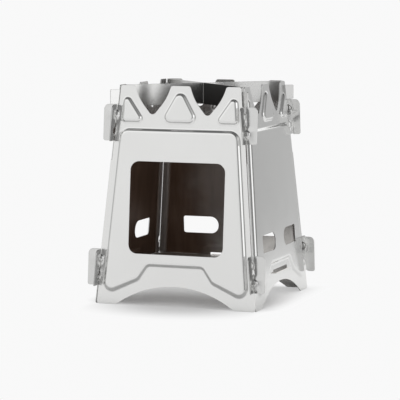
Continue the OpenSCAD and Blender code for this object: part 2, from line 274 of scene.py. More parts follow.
@dataclass
class Sheet:
    """A piece cut from sheet: edge rings, the first one outside, and rings that carry its relief.

    Its bend gives the height that is added at flat points, where the sheet isn't quite plane.
    """

    name: str
    thickness: float
    plane: Plane
    edges: list[Ring]
    relief: list[Ring]
    bend: Callable[[np.ndarray], np.ndarray] | None = None

    def triangles(self) -> tuple[np.ndarray, np.ndarray, np.ndarray]:
        """Triangulates the sheet with every ring kept as edges.

        Returns:
            Flat points, the ring number of each point, and the triangles that lie inside the outline
            and outside the holes.
        """
        rings = self.edges + self.relief
        counts = np.array([len(ring.points) for ring in rings])
        flat = np.concatenate([ring.points for ring in rings])
        owner = np.repeat(np.arange(len(rings)), counts)
        index = np.arange(len(flat))
        first = np.repeat(np.cumsum(counts) - counts, counts)
        follow = first + (index - first + 1) % np.repeat(counts, counts)
        joined = np.array([ring.joined for ring in rings])[owner]
        sides = np.stack([index, follow], axis=1)[joined]
        result = delaunay_2d_cdt(flat.tolist(), sides.tolist(), [], KEEP_ALL_TRIANGLES, MERGE_DISTANCE)
        source = np.asarray(result[3], dtype=int).reshape(-1)
        tris = source[np.asarray(result[2], dtype=int)]
        middle = flat[tris].mean(axis=1)
        keep = inside(middle, rings[0].points)
        for hole in self.edges[1:]:
            keep &= ~inside(middle, hole.points)
        tris = tris[keep]
        a, b, c = flat[tris[:, 0]], flat[tris[:, 1]], flat[tris[:, 2]]
        turn = (b[:, 0] - a[:, 0]) * (c[:, 1] - a[:, 1]) - (b[:, 1] - a[:, 1]) * (c[:, 0] - a[:, 0])
        return flat, owner, np.where((turn > 0)[:, None], tris, tris[:, ::-1])

    def build(self) -> bpy.types.Object:
        """Makes the closed sheet: an outer face, an inner face one thickness below and walls round the edges.

        Returns:
            The new object, at the origin, with its place in its mesh and its flat x and y as UV in metres.
        """
        flat, owner, tris = self.triangles()
        rings = self.edges + self.relief
        height = np.array([ring.height for ring in rings])[owner]
        if self.bend:
            height = height + self.bend(flat)
        broken = np.array([ring.broken for ring in rings])[owner]
        count = len(flat)
        world = np.concatenate([
            self.plane.place(flat, height - broken),
            self.plane.place(flat, height - self.thickness + broken),
        ])
        sides = tris[:, [0, 1, 1, 2, 2, 0]].reshape(-1, 2)
        key = np.sort(sides, axis=1)
        _, first, uses = np.unique(key[:, 0] * count + key[:, 1], return_index=True, return_counts=True)
        rim = sides[first[uses == 1]]
        a, b = rim[:, 0], rim[:, 1]
        wall = np.concatenate([np.stack([a, a + count, b + count], 1), np.stack([a, b + count, b], 1)])
        faces = np.concatenate([tris, tris[:, ::-1] + count, wall])
        kinds = [(Face.OUTER, len(tris)), (Face.INNER, len(tris)), (Face.EDGE, len(wall))]
        slots = np.repeat([kind.value for kind, _ in kinds], [size for _, size in kinds])
        uv = np.concatenate([flat, flat]) * MM
        return mesh_object(self.name, world, faces, slots, uv)


def mesh_object(
    name: str, points: np.ndarray, faces: np.ndarray, slots: np.ndarray, uv: np.ndarray
) -> bpy.types.Object:
    """Puts arrays into a smooth-shaded mesh whose steep edges stay sharp.

    Args:
        name: name of the object and its mesh.
        points: vertex positions in metres.
        faces: triangles.
        slots: material slot of each triangle.
        uv: UV of each vertex.

    Returns:
        The new object, linked to the scene.
    """
    mesh = bpy.data.meshes.new(name)
    mesh.vertices.add(len(points))
    mesh.vertices.foreach_set("co", points.astype(np.float32).ravel())
    mesh.loops.add(faces.size)
    mesh.loops.foreach_set("vertex_index", faces.astype(np.int32).ravel())
    mesh.polygons.add(len(faces))
    mesh.polygons.foreach_set("loop_start", np.arange(0, faces.size, 3, dtype=np.int32))
    mesh.polygons.foreach_set("material_index", slots.astype(np.int32))
    mesh.polygons.foreach_set("use_smooth", np.ones(len(faces), dtype=bool))
    layer = mesh.uv_layers.new(name="flat")
    layer.data.foreach_set("uv", uv[faces.ravel()].astype(np.float32).ravel())
    mesh.update(calc_edges=True)
    mesh.validate()
    mesh.set_sharp_from_angle(angle=math.radians(SHARP_DEGREES))
    piece = bpy.data.objects.new(name, mesh)
    bpy.context.scene.collection.objects.link(piece)
    return piece


# Finishes


@dataclass(frozen=True)
class SteelFinish:
    """A steel surface: its colour, roughness, rolling lines' strength, stain, and on the pot stand a painted
    dark reflection.

    The stain inside the tower has streaks of a second colour. The ears' share is painted shade: the share of
    their brightness taken off the hook ears.
    """

    name: str
    colour: Triple
    roughness: float
    grain: float
    # Where the surface is stained; on the pot stand, where a dark reflection is painted instead.
    stain: StainAndReflection = StainAndReflection.NONE
    stain_and_reflection_colour: Triple = (0.10, 0.058, 0.038)
    streak_colour: Triple = (0.15, 0.096, 0.068)
    worn: float = 0.0


# The hook ears of the outer faces are darkened by a share: painted shade.
PANEL_OUTSIDE = SteelFinish("panel_bright", (0.80, 0.80, 0.79), 0.15, 0.5, worn=0.14)
PANEL_INSIDE = SteelFinish("panel_stained", (0.77, 0.77, 0.765), 0.20, 0.5, StainAndReflection.TOWER)
CUT_EDGE = SteelFinish("cut_edge", (0.56, 0.56, 0.55), 0.36, 0.2)
# The pot stand's near-black colour paints a dark reflection on its front right arm.
POT_PLATE = SteelFinish(
    "pot_plate_dark_reflection", (0.84, 0.84, 0.83), 0.22, 0.5, StainAndReflection.STAND, (0.022, 0.021, 0.020)
)
FIRE_PLATE = SteelFinish(
    "fire_plate_stained", (0.82, 0.80, 0.77), 0.14, 0.5, StainAndReflection.TOWER, (0.16, 0.125, 0.10)
)


class Nodes:
    """Adds and joins nodes of one node tree. Inputs are numbers, vectors, colours or other nodes' outputs."""

    def __init__(self, tree: bpy.types.NodeTree) -> None:
        """Keeps the tree to work on."""
        self.tree = tree

    def add(
        self, kind: str, inputs: dict[int | str, object] | None = None, **values: object
    ) -> bpy.types.Node:
        """Adds a node.

        Args:
            kind: Blender's name of the node.
            inputs: what goes into each input, by its place or name.
            values: the node's properties.

        Returns:
            The node.
        """
        node = self.tree.nodes.new(kind)
        for key, value in values.items():
            setattr(node, key, value)
        for key, value in (inputs or {}).items():
            if isinstance(value, Socket):
                self.link(value, node.inputs[key])
            else:
                node.inputs[key].default_value = value
        return node

    def link(self, source: Socket, target: Socket) -> None:
        """Joins an output to an input."""
        self.tree.links.new(source, target)

    def math(self, operation: str, a: object, b: object = 0.0) -> Socket:
        """The result of a math operation on one or two values."""
        return self.add("ShaderNodeMath", {0: a, 1: b}, operation=operation).outputs[0]

    def plus(self, a: object, b: object) -> Socket:
        """The sum of two values."""
        return self.math("ADD", a, b)

    def minus(self, a: object, b: object) -> Socket:
        """The difference of two values."""
        return self.math("SUBTRACT", a, b)

    def times(self, a: object, b: object) -> Socket:
        """The product of two values."""
        return self.math("MULTIPLY", a, b)

    def larger(self, a: object, b: object) -> Socket:
        """The larger of two values."""
        return self.math("MAXIMUM", a, b)

    def axes(self, vector: Socket) -> tuple[Socket, Socket, Socket]:
        """The x, y and z of a vector."""
        parts = self.add("ShaderNodeSeparateXYZ", {0: vector}).outputs
        return parts[0], parts[1], parts[2]

    def ramp(self, value: Socket, low: float, high: float, start: float = 0.0, end: float = 1.0) -> Socket:
        """A smooth step of a value from low to high, put out between start and end."""
        inputs = {"Value": value, "From Min": low, "From Max": high, "To Min": start, "To Max": end}
        return self.add("ShaderNodeMapRange", inputs, interpolation_type="SMOOTHSTEP").outputs["Result"]

    def noise(self, vector: Socket, scale: float, detail: float) -> Socket:
        """A noise texture between 0 and 1."""
        inputs = {"Vector": vector, "Scale": scale, "Detail": detail}
        return self.add("ShaderNodeTexNoise", inputs).outputs["Fac"]

    def swing(self, vector: Socket, scale: float, detail: float) -> Socket:
        """A noise texture that swings about 0."""
        return self.minus(self.noise(vector, scale, detail), NOISE_MIDDLE)

    def stretch(self, vector: Socket, factors: Triple) -> Socket:
        """A vector multiplied by three factors."""
        return self.add("ShaderNodeVectorMath", {0: vector, 1: factors}, operation="MULTIPLY").outputs[0]

    def mix(self, share: Socket, a: object, b: object) -> Socket:
        """A mix of two numbers, where a share of 0 gives a and 1 gives b."""
        return self.add("ShaderNodeMix", {0: share, 2: a, 3: b}, data_type="FLOAT").outputs[0]

    def blend(self, share: Socket, a: object, b: object) -> Socket:
        """A mix of two colours, where a share of 0 gives a and 1 gives b."""
        return self.add("ShaderNodeMix", {0: share, 6: a, 7: b}, data_type="RGBA").outputs[2]


def new_group(
    name: str, inputs: dict[str, str], outputs: dict[str, str]
) -> tuple[Nodes, bpy.types.NodeOutputs, bpy.types.NodeInputs]:
    """Starts a shader node group with named sockets.

    Args:
        name: name of the group.
        inputs: socket kind of each input by name.
        outputs: socket kind of each output by name.

    Returns:
        The group's nodes, what the group is given, and the sockets for what it puts out.
    """
    group = bpy.data.node_groups.new(name, "ShaderNodeTree")
    for way, sockets in (("INPUT", inputs), ("OUTPUT", outputs)):
        for label, kind in sockets.items():
            group.interface.new_socket(name=label, in_out=way, socket_type=kind)
    n = Nodes(group)
    return n, n.add("NodeGroupInput").outputs, n.add("NodeGroupOutput").inputs


@dataclass(frozen=True)
class RolledGrain:
    """Rolled sheet: fine lines along the sheet's y and cloudy handling marks.

    Lines and clouds are counted per metre, and each moves the tone and the roughness by a share of its swing.
    """

    lines: Triple = (2600.0, 60.0, 60.0)
    line_detail: float = 2.0
    line_tone: float = 0.10
    line_roughness: float = 0.10
    clouds: float = 38.0
    cloud_detail: float = 4.0
    cloud_tone: float = 0.05
    cloud_roughness: float = 0.12

    def group(self) -> bpy.types.NodeTree:
        """Builds the node group.

        Returns:
            A group with Tone near 1, Roughness and Height.
        """
        given_kinds = {"Vector": VECTOR, "Roughness": VALUE, "Grain": VALUE}
        n, given, out = new_group(
            "rolled_grain", given_kinds, {"Tone": VALUE, "Roughness": VALUE, "Height": VALUE}
        )
        lines = n.swing(n.stretch(given["Vector"], self.lines), 1.0, self.line_detail)
        lines = n.times(lines, given["Grain"])
        cloud = n.swing(given["Vector"], self.clouds, self.cloud_detail)
        tone = n.plus(1.0, n.times(lines, self.line_tone))
        n.link(n.plus(tone, n.times(cloud, self.cloud_tone)), out["Tone"])
        rough = n.plus(given["Roughness"], n.times(lines, self.line_roughness))
        n.link(n.plus(rough, n.times(cloud, self.cloud_roughness)), out["Roughness"])
        n.link(lines, out["Height"])
        return n.tree


@dataclass(frozen=True)
class EarShade:
    """Painted shade on the hook ears, which stand out beyond the panel's half width base_half - y sin(lean).

    Lengths are in metres, and the lean is in radians.
    """

    base_half: float
    lean: float
    fade: float = 0.003

    def group(self) -> bpy.types.NodeTree:
        """Builds the node group.

        Returns:
            A group with Tone, 1 on the panel and less on its ears, as painted shade.
        """
        n, given, out = new_group("ear_shade", {"Vector": VECTOR, "Worn": VALUE}, {"Tone": VALUE})
        x, y, _ = n.axes(given["Vector"])
        half = n.minus(self.base_half, n.times(y, math.sin(self.lean)))
        # Tone falls on the ears beyond the half width: painted shade.
        beyond = n.ramp(n.minus(n.math("ABSOLUTE", x), half), 0.0, self.fade)
        n.link(n.minus(1.0, n.times(beyond, given["Worn"])), out["Tone"])
        return n.tree


@dataclass(frozen=True)
class HeatStain:
    """Soot and heat stain inside the tower: strongest on the left, thin at the crown and beside the corners.

    The tower's half width at height z is base_half - z tan(lean). Lengths are in metres, and the lean is in
    radians. A span is where the stain changes, and the stain named after it is the share that remains there.
    Low down the stain runs out to the right, and high up it only thins there.
    """

    base_half: float
    lean: float
    seam: Span = (0.00084, 0.00104)
    corner: Span = (0.005, 0.0075)
    corner_stain: float = 0.7
    crown: Span = (0.126, 0.152)
    crown_stain: float = 0.08
    plate: Span = (0.0225, 0.0240)
    low: Span = (-0.035, 0.026)
    low_stain: float = 0.1
    high: Span = (-0.045, -0.012)
    high_stain: float = 0.80
    low_to_high: Span = (0.046, 0.066)
    ragged: float = 0.03
    rags: float = 45.0
    rag_detail: float = 4.0
    broad_streaks: Triple = (160.0, 160.0, 14.0)
    broad_detail: float = 3.0
    broad_share: float = 0.8
    fine_streaks: Triple = (900.0, 900.0, 12.0)
    fine_detail: float = 2.0
    fine_share: float = 0.2
    streak_span: Span = (0.25, 0.80)

    def group(self) -> bpy.types.NodeTree:
        """Builds the node group.

        Returns:
            A group with Mask, the strength of the stain, and Streak, the share of its second colour.
        """
        n, given, out = new_group("heat_stain", {"Position": VECTOR}, {"Mask": VALUE, "Streak": VALUE})
        place = given["Position"]
        x, y, z = n.axes(place)
        wall = n.minus(self.base_half, n.times(z, math.tan(self.lean)))
        beside = n.minus(wall, n.math("MINIMUM", n.math("ABSOLUTE", x), n.math("ABSOLUTE", y)))
        corner = n.times(n.ramp(beside, *self.seam), n.ramp(beside, *self.corner, self.corner_stain, 1.0))
        ragged = n.times(n.swing(place, self.rags, self.rag_detail), self.ragged)
        crown = n.ramp(n.plus(z, ragged), *self.crown, 1.0, self.crown_stain)
        across = n.plus(x, ragged)
        low = n.ramp(across, *self.low, 1.0, self.low_stain)
        high = n.ramp(across, *self.high, 1.0, self.high_stain)
        side = n.mix(n.ramp(z, *self.low_to_high), low, high)
        n.link(n.times(n.times(corner, n.ramp(z, *self.plate)), n.times(crown, side)), out["Mask"])
        broad = n.noise(n.stretch(place, self.broad_streaks), 1.0, self.broad_detail)
        fine = n.noise(n.stretch(place, self.fine_streaks), 1.0, self.fine_detail)
        streak = n.plus(n.times(broad, self.broad_share), n.times(fine, self.fine_share))
        n.link(n.ramp(streak, *self.streak_span), out["Streak"])
        return n.tree


@dataclass(frozen=True)
class StandDarkReflection:
    """Painted dark reflection on the pot stand's front right arm, clear of its lug, and a light tint on its
    rear right arm.

    Lengths are in metres. The arms run along x - y and x + y.
    """

    start: Span = (0.0009, 0.0018)
    end: Span = (0.082, 0.096)
    rear: Span = (0.010, 0.030)
    rear_tint: float = 0.26
    ragged: float = 0.012
    rags: float = 60.0
    rag_detail: float = 4.0

    def group(self) -> bpy.types.NodeTree:
        """Builds the node group.

        Returns:
            A group with Mask, the strength of the painted dark reflection.
        """
        n, given, out = new_group("stand_dark_reflection", {"Position": VECTOR}, {"Mask": VALUE})
        x, y, _ = n.axes(given["Position"])
        ragged = n.times(n.swing(given["Position"], self.rags, self.rag_detail), self.ragged)
        along = n.minus(x, y)
        # front paints the dark reflection along the front right arm.
        front = n.times(n.ramp(along, *self.start), n.ramp(n.plus(along, ragged), *self.end, 1.0, 0.0))
        rear = n.ramp(n.plus(x, y), *self.rear, 0.0, self.rear_tint)
        n.link(n.larger(front, rear), out["Mask"])
        return n.tree


@dataclass
class SteelShop:
    """Makes the steel materials from their finishes, with node groups that they share.

    Half the base width is in metres, and the panels' lean is in radians. Soot, and the pot stand's painted
    dark reflection, add to the roughness and take a share of the metal's gloss.
    """

    base_half: float
    lean: float
    specular: float = 0.15
    soot_and_reflection_roughness: float = 0.25
    soot_and_reflection_dulling: float = 0.75
    line_bump: float = 0.06
    line_depth: float = 0.0001

    def __post_init__(self) -> None:
        """Builds the shared node groups once."""
        self.grain = RolledGrain().group()
        self.ear_shade_group = EarShade(self.base_half, self.lean).group()
        tower = HeatStain(self.base_half, self.lean)
        self.stain_and_reflection_groups = {StainAndReflection.TOWER: tower.group(), StainAndReflection.STAND: StandDarkReflection().group()}

    def material(self, finish: SteelFinish) -> bpy.types.Material:
        """Makes one steel material.

        Args:
            finish: the finish to make.

        Returns:
            The material, reading the sheet's UV for its grain and Object coordinates for its stain and the
            stand's painted reflection.
        """
        made = bpy.data.materials.new(finish.name)
        made.use_nodes = True
        n = Nodes(made.node_tree)
        shader = made.node_tree.nodes["Principled BSDF"].inputs
        shader["Metallic"].default_value = 1.0
        shader["Specular IOR Level"].default_value = self.specular
        coordinates = n.add("ShaderNodeTexCoord").outputs
        sheet = {"Vector": coordinates["UV"], "Roughness": finish.roughness, "Grain": finish.grain}
        grain = n.add("ShaderNodeGroup", sheet, node_tree=self.grain).outputs
        tone, rough = grain["Tone"], grain["Roughness"]
        # The hook ears are darkened by a share: painted shade.
        if finish.worn > 0:
            ears = {"Vector": coordinates["UV"], "Worn": finish.worn}
            tone = n.times(tone, n.add("ShaderNodeGroup", ears, node_tree=self.ear_shade_group).outputs["Tone"])
        steel = {0: finish.colour, "Scale": tone}
        colour = n.add("ShaderNodeVectorMath", steel, operation="SCALE").outputs[0]
        # Stain in the tower; on the pot stand, a painted dark reflection.
        if finish.stain is not StainAndReflection.NONE:
            place = {"Position": coordinates["Object"]}
            stain = n.add("ShaderNodeGroup", place, node_tree=self.stain_and_reflection_groups[finish.stain]).outputs
            soot_and_reflection = (*finish.stain_and_reflection_colour, 1.0)
            if finish.stain is StainAndReflection.TOWER:
                soot_and_reflection = n.blend(stain["Streak"], soot_and_reflection, (*finish.streak_colour, 1.0))
            colour = n.blend(stain["Mask"], colour, soot_and_reflection)
            rough = n.plus(rough, n.times(stain["Mask"], self.soot_and_reflection_roughness))
            n.link(n.minus(1.0, n.times(stain["Mask"], self.soot_and_reflection_dulling)), shader["Metallic"])
        n.link(colour, shader["Base Color"])
        n.link(rough, shader["Roughness"])
        lines = {"Strength": self.line_bump, "Distance": self.line_depth, "Height": grain["Height"]}
        n.link(n.add("ShaderNodeBump", lines).outputs["Normal"], shader["Normal"])
        return made


# Sub-assemblies


@dataclass(frozen=True)
class Relief:
    """How the relief is pressed, in millimetres: its height and the shape of its slope.

    The foot, middle and crest of the slope are counted inwards from an outline, and the width says how far
    the steep part of the slope reaches on either side of its middle.
    """

    height: float = 1.5
    foot: float = -1.45
    middle: float = 0.7
    crest: float = 3.6
    width: float = 0.55
    support: float = 0.35
    rings: int = 16
    arc_steps: int = 12
    span: float = 4.0

    def press(self, outline: Outline) -> list[Ring]:
        """Rings across the slope of one pressed area.

        The slope follows 1 / (1 + q^2), where q counts widths from the middle, and runs out at the foot and
        the crest, so that both are softly rounded. A flat ring on either side keeps the flats' shading even.

        Args:
            outline: line along the lower edge of the slope.

        Returns:
            The rings, from the foot to the crest.
        """
        offsets = np.linspace(self.foot, self.crest, self.rings)
        beyond = offsets - self.middle
        ends = np.where(beyond < 0, self.foot, self.crest) - self.middle
        slope = (1 - (beyond / ends) ** 2) / (1 + (beyond / self.width) ** 2)
        rise = np.cumsum(slope[1:] + slope[:-1])
        heights = self.height * np.concatenate([[0.0, 0.0], rise / rise[-1], [1.0]])
        offsets = np.concatenate([[self.foot - self.support], offsets, [self.crest + self.support]])
        moved = [outline.inset(float(offset)).points(self.arc_steps, self.span) for offset in offsets]
        return [Ring(points, float(height)) for points, height in zip(moved, heights)]


@dataclass
class Panel:
    """One pressed panel of the tower, in millimetres: x across it, y up its slope."""

    base_w: float = 130.0
    top_w: float = 101.0
    stove_h: float = 167.5
    sheet_t: float = 0.8
    mid_prong_w: float = 15.2
    notch_w: float = 29.4
    notch_waist_w: float = 23.2
    notch_waist_depth: float = 9.7
    notch_waist_r: float = 40.0
    notch_point_depth: float = 23.7
    notch_r: float = 3.2
    prong_r: float = 2.0
    arch_w: float = 96.0
    arch_h: float = 15.5
    arch_points: int = 49
    foot_r: float = 2.0
    foot_lift: float = 0.08
    field_border: float = 5.4
    field_drop: float = 33.2
    field_r: float = 8.0
    lobe_y: float = 6.4
    lobe_r: float = 6.6
    step_h: float = 30.6
    step_w: float = 44.0
    step_foot_h: float = 19.6
    step_run: float = 7.6
    step_r: float = 4.0
    step_foot_r: float = 7.0
    triangle_drop: float = 28.4
    mid_triangle_w: float = 32.0
    mid_triangle_h: float = 27.6
    mid_triangle_r: float = 5.0
    side_triangle_w: float = 20.0
    side_triangle_h: float = 25.2
    side_triangle_r: float = 3.4
    window_w: float = 76.6
    window_h: float = 70.4
    window_sill: float = 39.8
    window_r: float = 7.0
    vent_w: float = 30.0
    vent_h: float = 13.8
    vent_sill: float = 41.0
    vent_gap: float = 20.0
    vent_end_r: float = 6.6
    vent_corner_r: float = 1.8
    ear_h: float = 28.0
    ear_out: float = 9.2
    ear_drop: float = 14.8
    ear_low: float = 14.2
    ear_top_r: float = 4.0
    ear_bottom_r: float = 1.6
    slot_in: float = 1.1
    slot_out: float = 1.2
    slot_spare: float = 0.6
    slot_flare: float = 1.0
    slot_r: float = 0.4
    crown_cut: float = 1.93
    dimple_h: float = 0.9
    dimple_d: float = 6.6
    dimple_crest_d: float = 4.4
    dimple_soft: float = 0.2
    dimple_off: float = 7.4
    dimple_rings: int = 6
    dimple_points: int = 36
    tab_slot_w: float = 34.2
    tab_slot_low: float = 22.785
    tab_slot_high: float = 25.588
    edge_break: float = 0.1
    bulge: float = 0.6
    mesh_step: float = 6.0
    mesh_clear: float = 1.6
    relief: Relief = Relief()

    @property
    def lean(self) -> float:
        """Lean of the panel in radians."""
        return math.atan((self.base_w - self.top_w) / 2 / self.stove_h)

    @property
    def slope_l(self) -> float:
        """Length of the panel up its slope."""
        return self.stove_h / math.cos(self.lean)

    def half_w(self, y: float | np.ndarray) -> float | np.ndarray:
        """Half width of the tower at a height along the slope."""
        return self.base_w / 2 - (self.base_w - self.top_w) / 2 * y / self.slope_l

    def plane(self, side: Side) -> Plane:
        """Plane of the panel's outer face, which leans inwards from the base.

        Args:
            side: side of the stove.

        Returns:
            The plane, with its origin in the middle of the base edge.
        """
        turn = math.radians(side.value)
        across = np.array([math.cos(turn), math.sin(turn), 0.0])
        front = np.array([math.sin(turn), -math.cos(turn), 0.0])
        top = np.array([0.0, 0.0, 1.0])
        up = -front * math.sin(self.lean) + top * math.cos(self.lean)
        out = front * math.cos(self.lean) + top * math.sin(self.lean)
        return Plane(MM * front * self.base_w / 2, across, up, out)

    def slot_rows(self, mouth: float, end: float) -> Rows:
        """Corners of a hook slot on the right of the panel, from the outer lip of its mouth to its inner end.

        Args:
            mouth: height of the ear's open end.
            end: height of the slot's closed end.

        Returns:
            Rows of x, y and radius.
        """
        throat = mouth + math.copysign(self.slot_flare, end - mouth)
        return [
            (self.half_w(mouth) + self.slot_out + self.slot_flare, mouth, 0),
            (self.half_w(throat) + self.slot_out, throat, 0),
            (self.half_w(end) + self.slot_out, end, self.slot_r),
            (self.half_w(end) - self.slot_in, end, self.slot_r),
        ]

    def ear_lows(self) -> Span:
        """Heights of the lower edges of the lower and the upper ears."""
        return self.ear_low, self.slope_l - self.ear_drop - self.ear_h

    def ear_reach(self, low: float) -> float:
        """Place of an ear's outer edge, from the height of its lower edge."""
        return self.half_w(low + self.ear_h / 2) + self.ear_out

    def right_edge(self) -> Rows:
        """Corners of the right edge from the foot to the crown, with ears slotted from above.

        The edge reaches the corner below the lower ear and stands back by a slot's depth above it.

        Returns:
            Rows of x, y and radius.
        """
        rows = []
        for low, back in zip(self.ear_lows(), (0.0, self.slot_in)):
            top = low + self.ear_h
            rows += [
                (self.half_w(low) - back, low, 0),
                (self.ear_reach(low), low, self.ear_bottom_r),
                (self.ear_reach(low), top, self.ear_top_r),
                *self.slot_rows(top, low + (self.ear_h - self.slot_spare) / 2),
            ]
        rows.append((self.half_w(top) - self.slot_in, top, 0))
        rows.append((self.half_w(top) - self.crown_cut, top, self.slot_r))
        return rows

    def left_edge(self) -> Rows:
        """Corners of the left edge from the crown to the foot, with ears slotted from below.

        The edge reaches the corner between the ears, except for the hook's travel under the upper one.

        Returns:
            Rows of x, y and radius.
        """
        lower, upper = self.ear_lows()
        gap = upper - self.ear_h / 2 - self.slot_spare
        rows = []
        for low, back, soft in ((upper, self.crown_cut, self.slot_r), (lower, 0.0, 0.0)):
            top = low + self.ear_h
            rows += [
                (self.half_w(top) - back, top, soft),
                (self.ear_reach(low), top, self.ear_top_r),
                (self.ear_reach(low), low, self.ear_bottom_r),
                *self.slot_rows(low, low + (self.ear_h + self.slot_spare) / 2),
            ]
            if low == upper:
                rows += [(self.half_w(gap) - self.slot_in, gap, 0), (self.half_w(gap), gap, 0)]
        return [(-x, y, r) for x, y, r in rows]

    def crown(self) -> Rows:
        """Corners of the three prongs, from right to left, with a waisted notch between each two.

        Returns:
            Rows of x, y and radius.
        """
        tip = self.slope_l
        middle = (self.mid_prong_w + self.notch_w) / 2
        mouth, waist = self.notch_w / 2, self.notch_waist_w / 2
        waist_y = tip - self.notch_waist_depth
        half = [
            (self.half_w(tip) - self.crown_cut, tip, self.prong_r),
            (middle + mouth, tip, self.prong_r),
            (middle + waist, waist_y, self.notch_waist_r),
            (middle, tip - self.notch_point_depth, self.notch_r),
            (middle - waist, waist_y, self.notch_waist_r),
            (middle - mouth, tip, self.prong_r),
        ]
        return half + other_half(half)

    def arch(self) -> np.ndarray:
        """Arch between the feet, on the circle of radius (w^2 / 4 + h^2) / 2h through the feet and its crest.

        Returns:
            Points from the left foot to the right one.
        """
        radius = ((self.arch_w / 2) ** 2 + self.arch_h**2) / (2 * self.arch_h)
        reach = math.acos((radius - self.arch_h + self.foot_lift) / radius)
        angle = np.linspace(-reach, reach, self.arch_points)
        return np.stack([radius * np.sin(angle), radius * (np.cos(angle) - 1) + self.arch_h], axis=1)

    def outline(self) -> Outline:
        """Outline of the blank with its ears, crown and feet.

        Returns:
            The outline, from the left foot.
        """
        rows = [
            (-self.half_w(0) + self.slot_in, self.foot_lift, self.foot_r),
            *np.pad(self.arch(), ((0, 0), (0, 1))).tolist(),
            (self.half_w(0), self.foot_lift, self.foot_r),
            *self.right_edge(),
            *self.crown(),
            *self.left_edge(),
        ]
        return Outline.of(rows)

    def window(self) -> Outline:
        """Outline of the feeding window."""
        half, top = self.window_w / 2, self.window_sill + self.window_h
        return Outline.box((-half, half), (self.window_sill, top), (self.window_r, self.window_r))

    def vent(self) -> Outline:
        """Outline of the right air vent, with its round end towards its twin."""
        near, low, radii = self.vent_gap / 2, self.vent_sill, (self.vent_end_r, self.vent_corner_r)
        return Outline.box((near, near + self.vent_w), (low, low + self.vent_h), radii)

    def tab_slot(self) -> Outline:
        """Outline of the slot for a fire plate tab."""
        half = self.tab_slot_w / 2
        return Outline.box((-half, half), (self.tab_slot_low, self.tab_slot_high), (self.slot_r, self.slot_r))

    def openings(self, side: Side) -> list[tuple[Outline, float]]:
        """Openings of a panel: a window in the front one, and vents and a tab slot in the others.

        Args:
            side: side of the stove.

        Returns:
            The outline of each opening and the height of the sheet round it.
        """
        raised = self.relief.height
        if side is Side.FRONT:
            return [(self.window(), raised)]
        return [(self.vent(), raised), (self.vent().mirrored(), raised), (self.tab_slot(), 0.0)]

    def pressed(self) -> list[Outline]:
        """Lines along the lower edges of the pressed areas' slopes.

        Returns:
            The field, and the middle, right and left triangles of the crown.
        """
        top = self.slope_l - self.field_drop
        side = [
            (self.step_w / 2, self.step_h, self.step_r),
            (self.step_w / 2 + self.step_run, self.step_foot_h, self.step_foot_r),
            (self.half_w(self.lobe_y) - self.field_border, self.lobe_y, self.lobe_r),
            (self.half_w(top) - self.field_border, top, self.field_r),
        ]
        base = self.slope_l - self.triangle_drop
        outer = self.half_w(base) - self.field_border
        tip = base + self.side_triangle_h
        corner = Outline.of([
            (outer - self.side_triangle_w, base, self.side_triangle_r),
            (outer, base, self.side_triangle_r),
            (self.half_w(tip) - self.field_border, tip, self.side_triangle_r),
        ])
        middle = Outline.of([
            (-self.mid_triangle_w / 2, base, self.mid_triangle_r),
            (self.mid_triangle_w / 2, base, self.mid_triangle_r),
            (0, base + self.mid_triangle_h, self.mid_triangle_r),
        ])
        return [Outline.of(side + other_half(side)), middle, corner, corner.mirrored()]

    def dimples(self) -> list[Ring]:
        """Round dimples on the closed halves of the ears, which rise by s^2 (3 - 2s) from rim to crest.

        Returns:
            The rings of each dimple, from its rim to its crest.
        """
        rings = []
        share = np.linspace(0, 1, self.dimple_rings)
        rim = self.dimple_d / 2 + self.dimple_soft
        crest = self.dimple_crest_d / 2 - self.dimple_soft
        radii = rim + share * (crest - rim)
        heights = self.dimple_h * share**2 * (3 - 2 * share)
        for low in self.ear_lows():
            right = low + self.dimple_off
            left = low + self.ear_h - self.dimple_off
            for x, y in ((self.half_w(right), right), (-self.half_w(left), left)):
                for radius, height in zip(radii.tolist(), heights.tolist()):
                    rings.append(Ring(circle(x, y, radius, self.dimple_points), height))
        return rings

    def bend(self, flat: np.ndarray) -> np.ndarray:
        """Height added at flat points by the shallow bulge of the field.

        It is the bulge's rise times (1 - u^2)(1 - v^2), where u and v run from -1 to 1 over the field.

        Args:
            flat: x and y of the points.

        Returns:
            One height per point.
        """
        x, y = flat[:, 0], flat[:, 1]
        top = self.slope_l - self.field_drop
        u = np.clip(x / (self.half_w(y) - self.field_border), -1, 1)
        v = np.clip((2 * y - top - self.lobe_y) / (top - self.lobe_y), -1, 1)
        return self.bulge * (1 - u**2) * (1 - v**2)

    def field_points(self, holes: list[Outline]) -> Ring:
        """Loose points of a square mesh over the pressed field, clear of its slope and of the openings.

        Args:
            holes: outlines of the openings.

        Returns:
            The points at the field's height.
        """
        across = np.arange(-self.base_w / 2, self.base_w / 2, self.mesh_step)
        x, y = np.meshgrid(across, np.arange(0, self.slope_l, self.mesh_step))
        points = np.stack([x.ravel(), y.ravel()], axis=1)
        crest = self.pressed()[0].inset(self.relief.crest + self.mesh_clear)
        keep = inside(points, crest.points())
        for hole in holes:
            keep &= ~inside(points, hole.inset(-self.mesh_clear).points())
        return Ring(points[keep], self.relief.height, joined=False)

    def build(self, side: Side) -> bpy.types.Object:
        """Makes the panel for one side of the stove.

        Args:
            side: side of the stove.

        Returns:
            The panel's object.
        """
        edge, beside = cut_edge(self.outline(), self.edge_break)
        edges, relief = [edge], [beside]
        openings = self.openings(side)
        for outline, height in openings:
            edge, beside = cut_edge(outline, self.edge_break, height, hole=True)
            edges.append(edge)
            relief.append(beside)
        for outline in self.pressed():
            relief += self.relief.press(outline)
        relief += self.dimples()
        relief.append(self.field_points([outline for outline, _ in openings]))
        name = f"{side.name.lower()}_panel_skin"
        return Sheet(name, self.sheet_t, self.plane(side), edges, relief, self.bend).build()


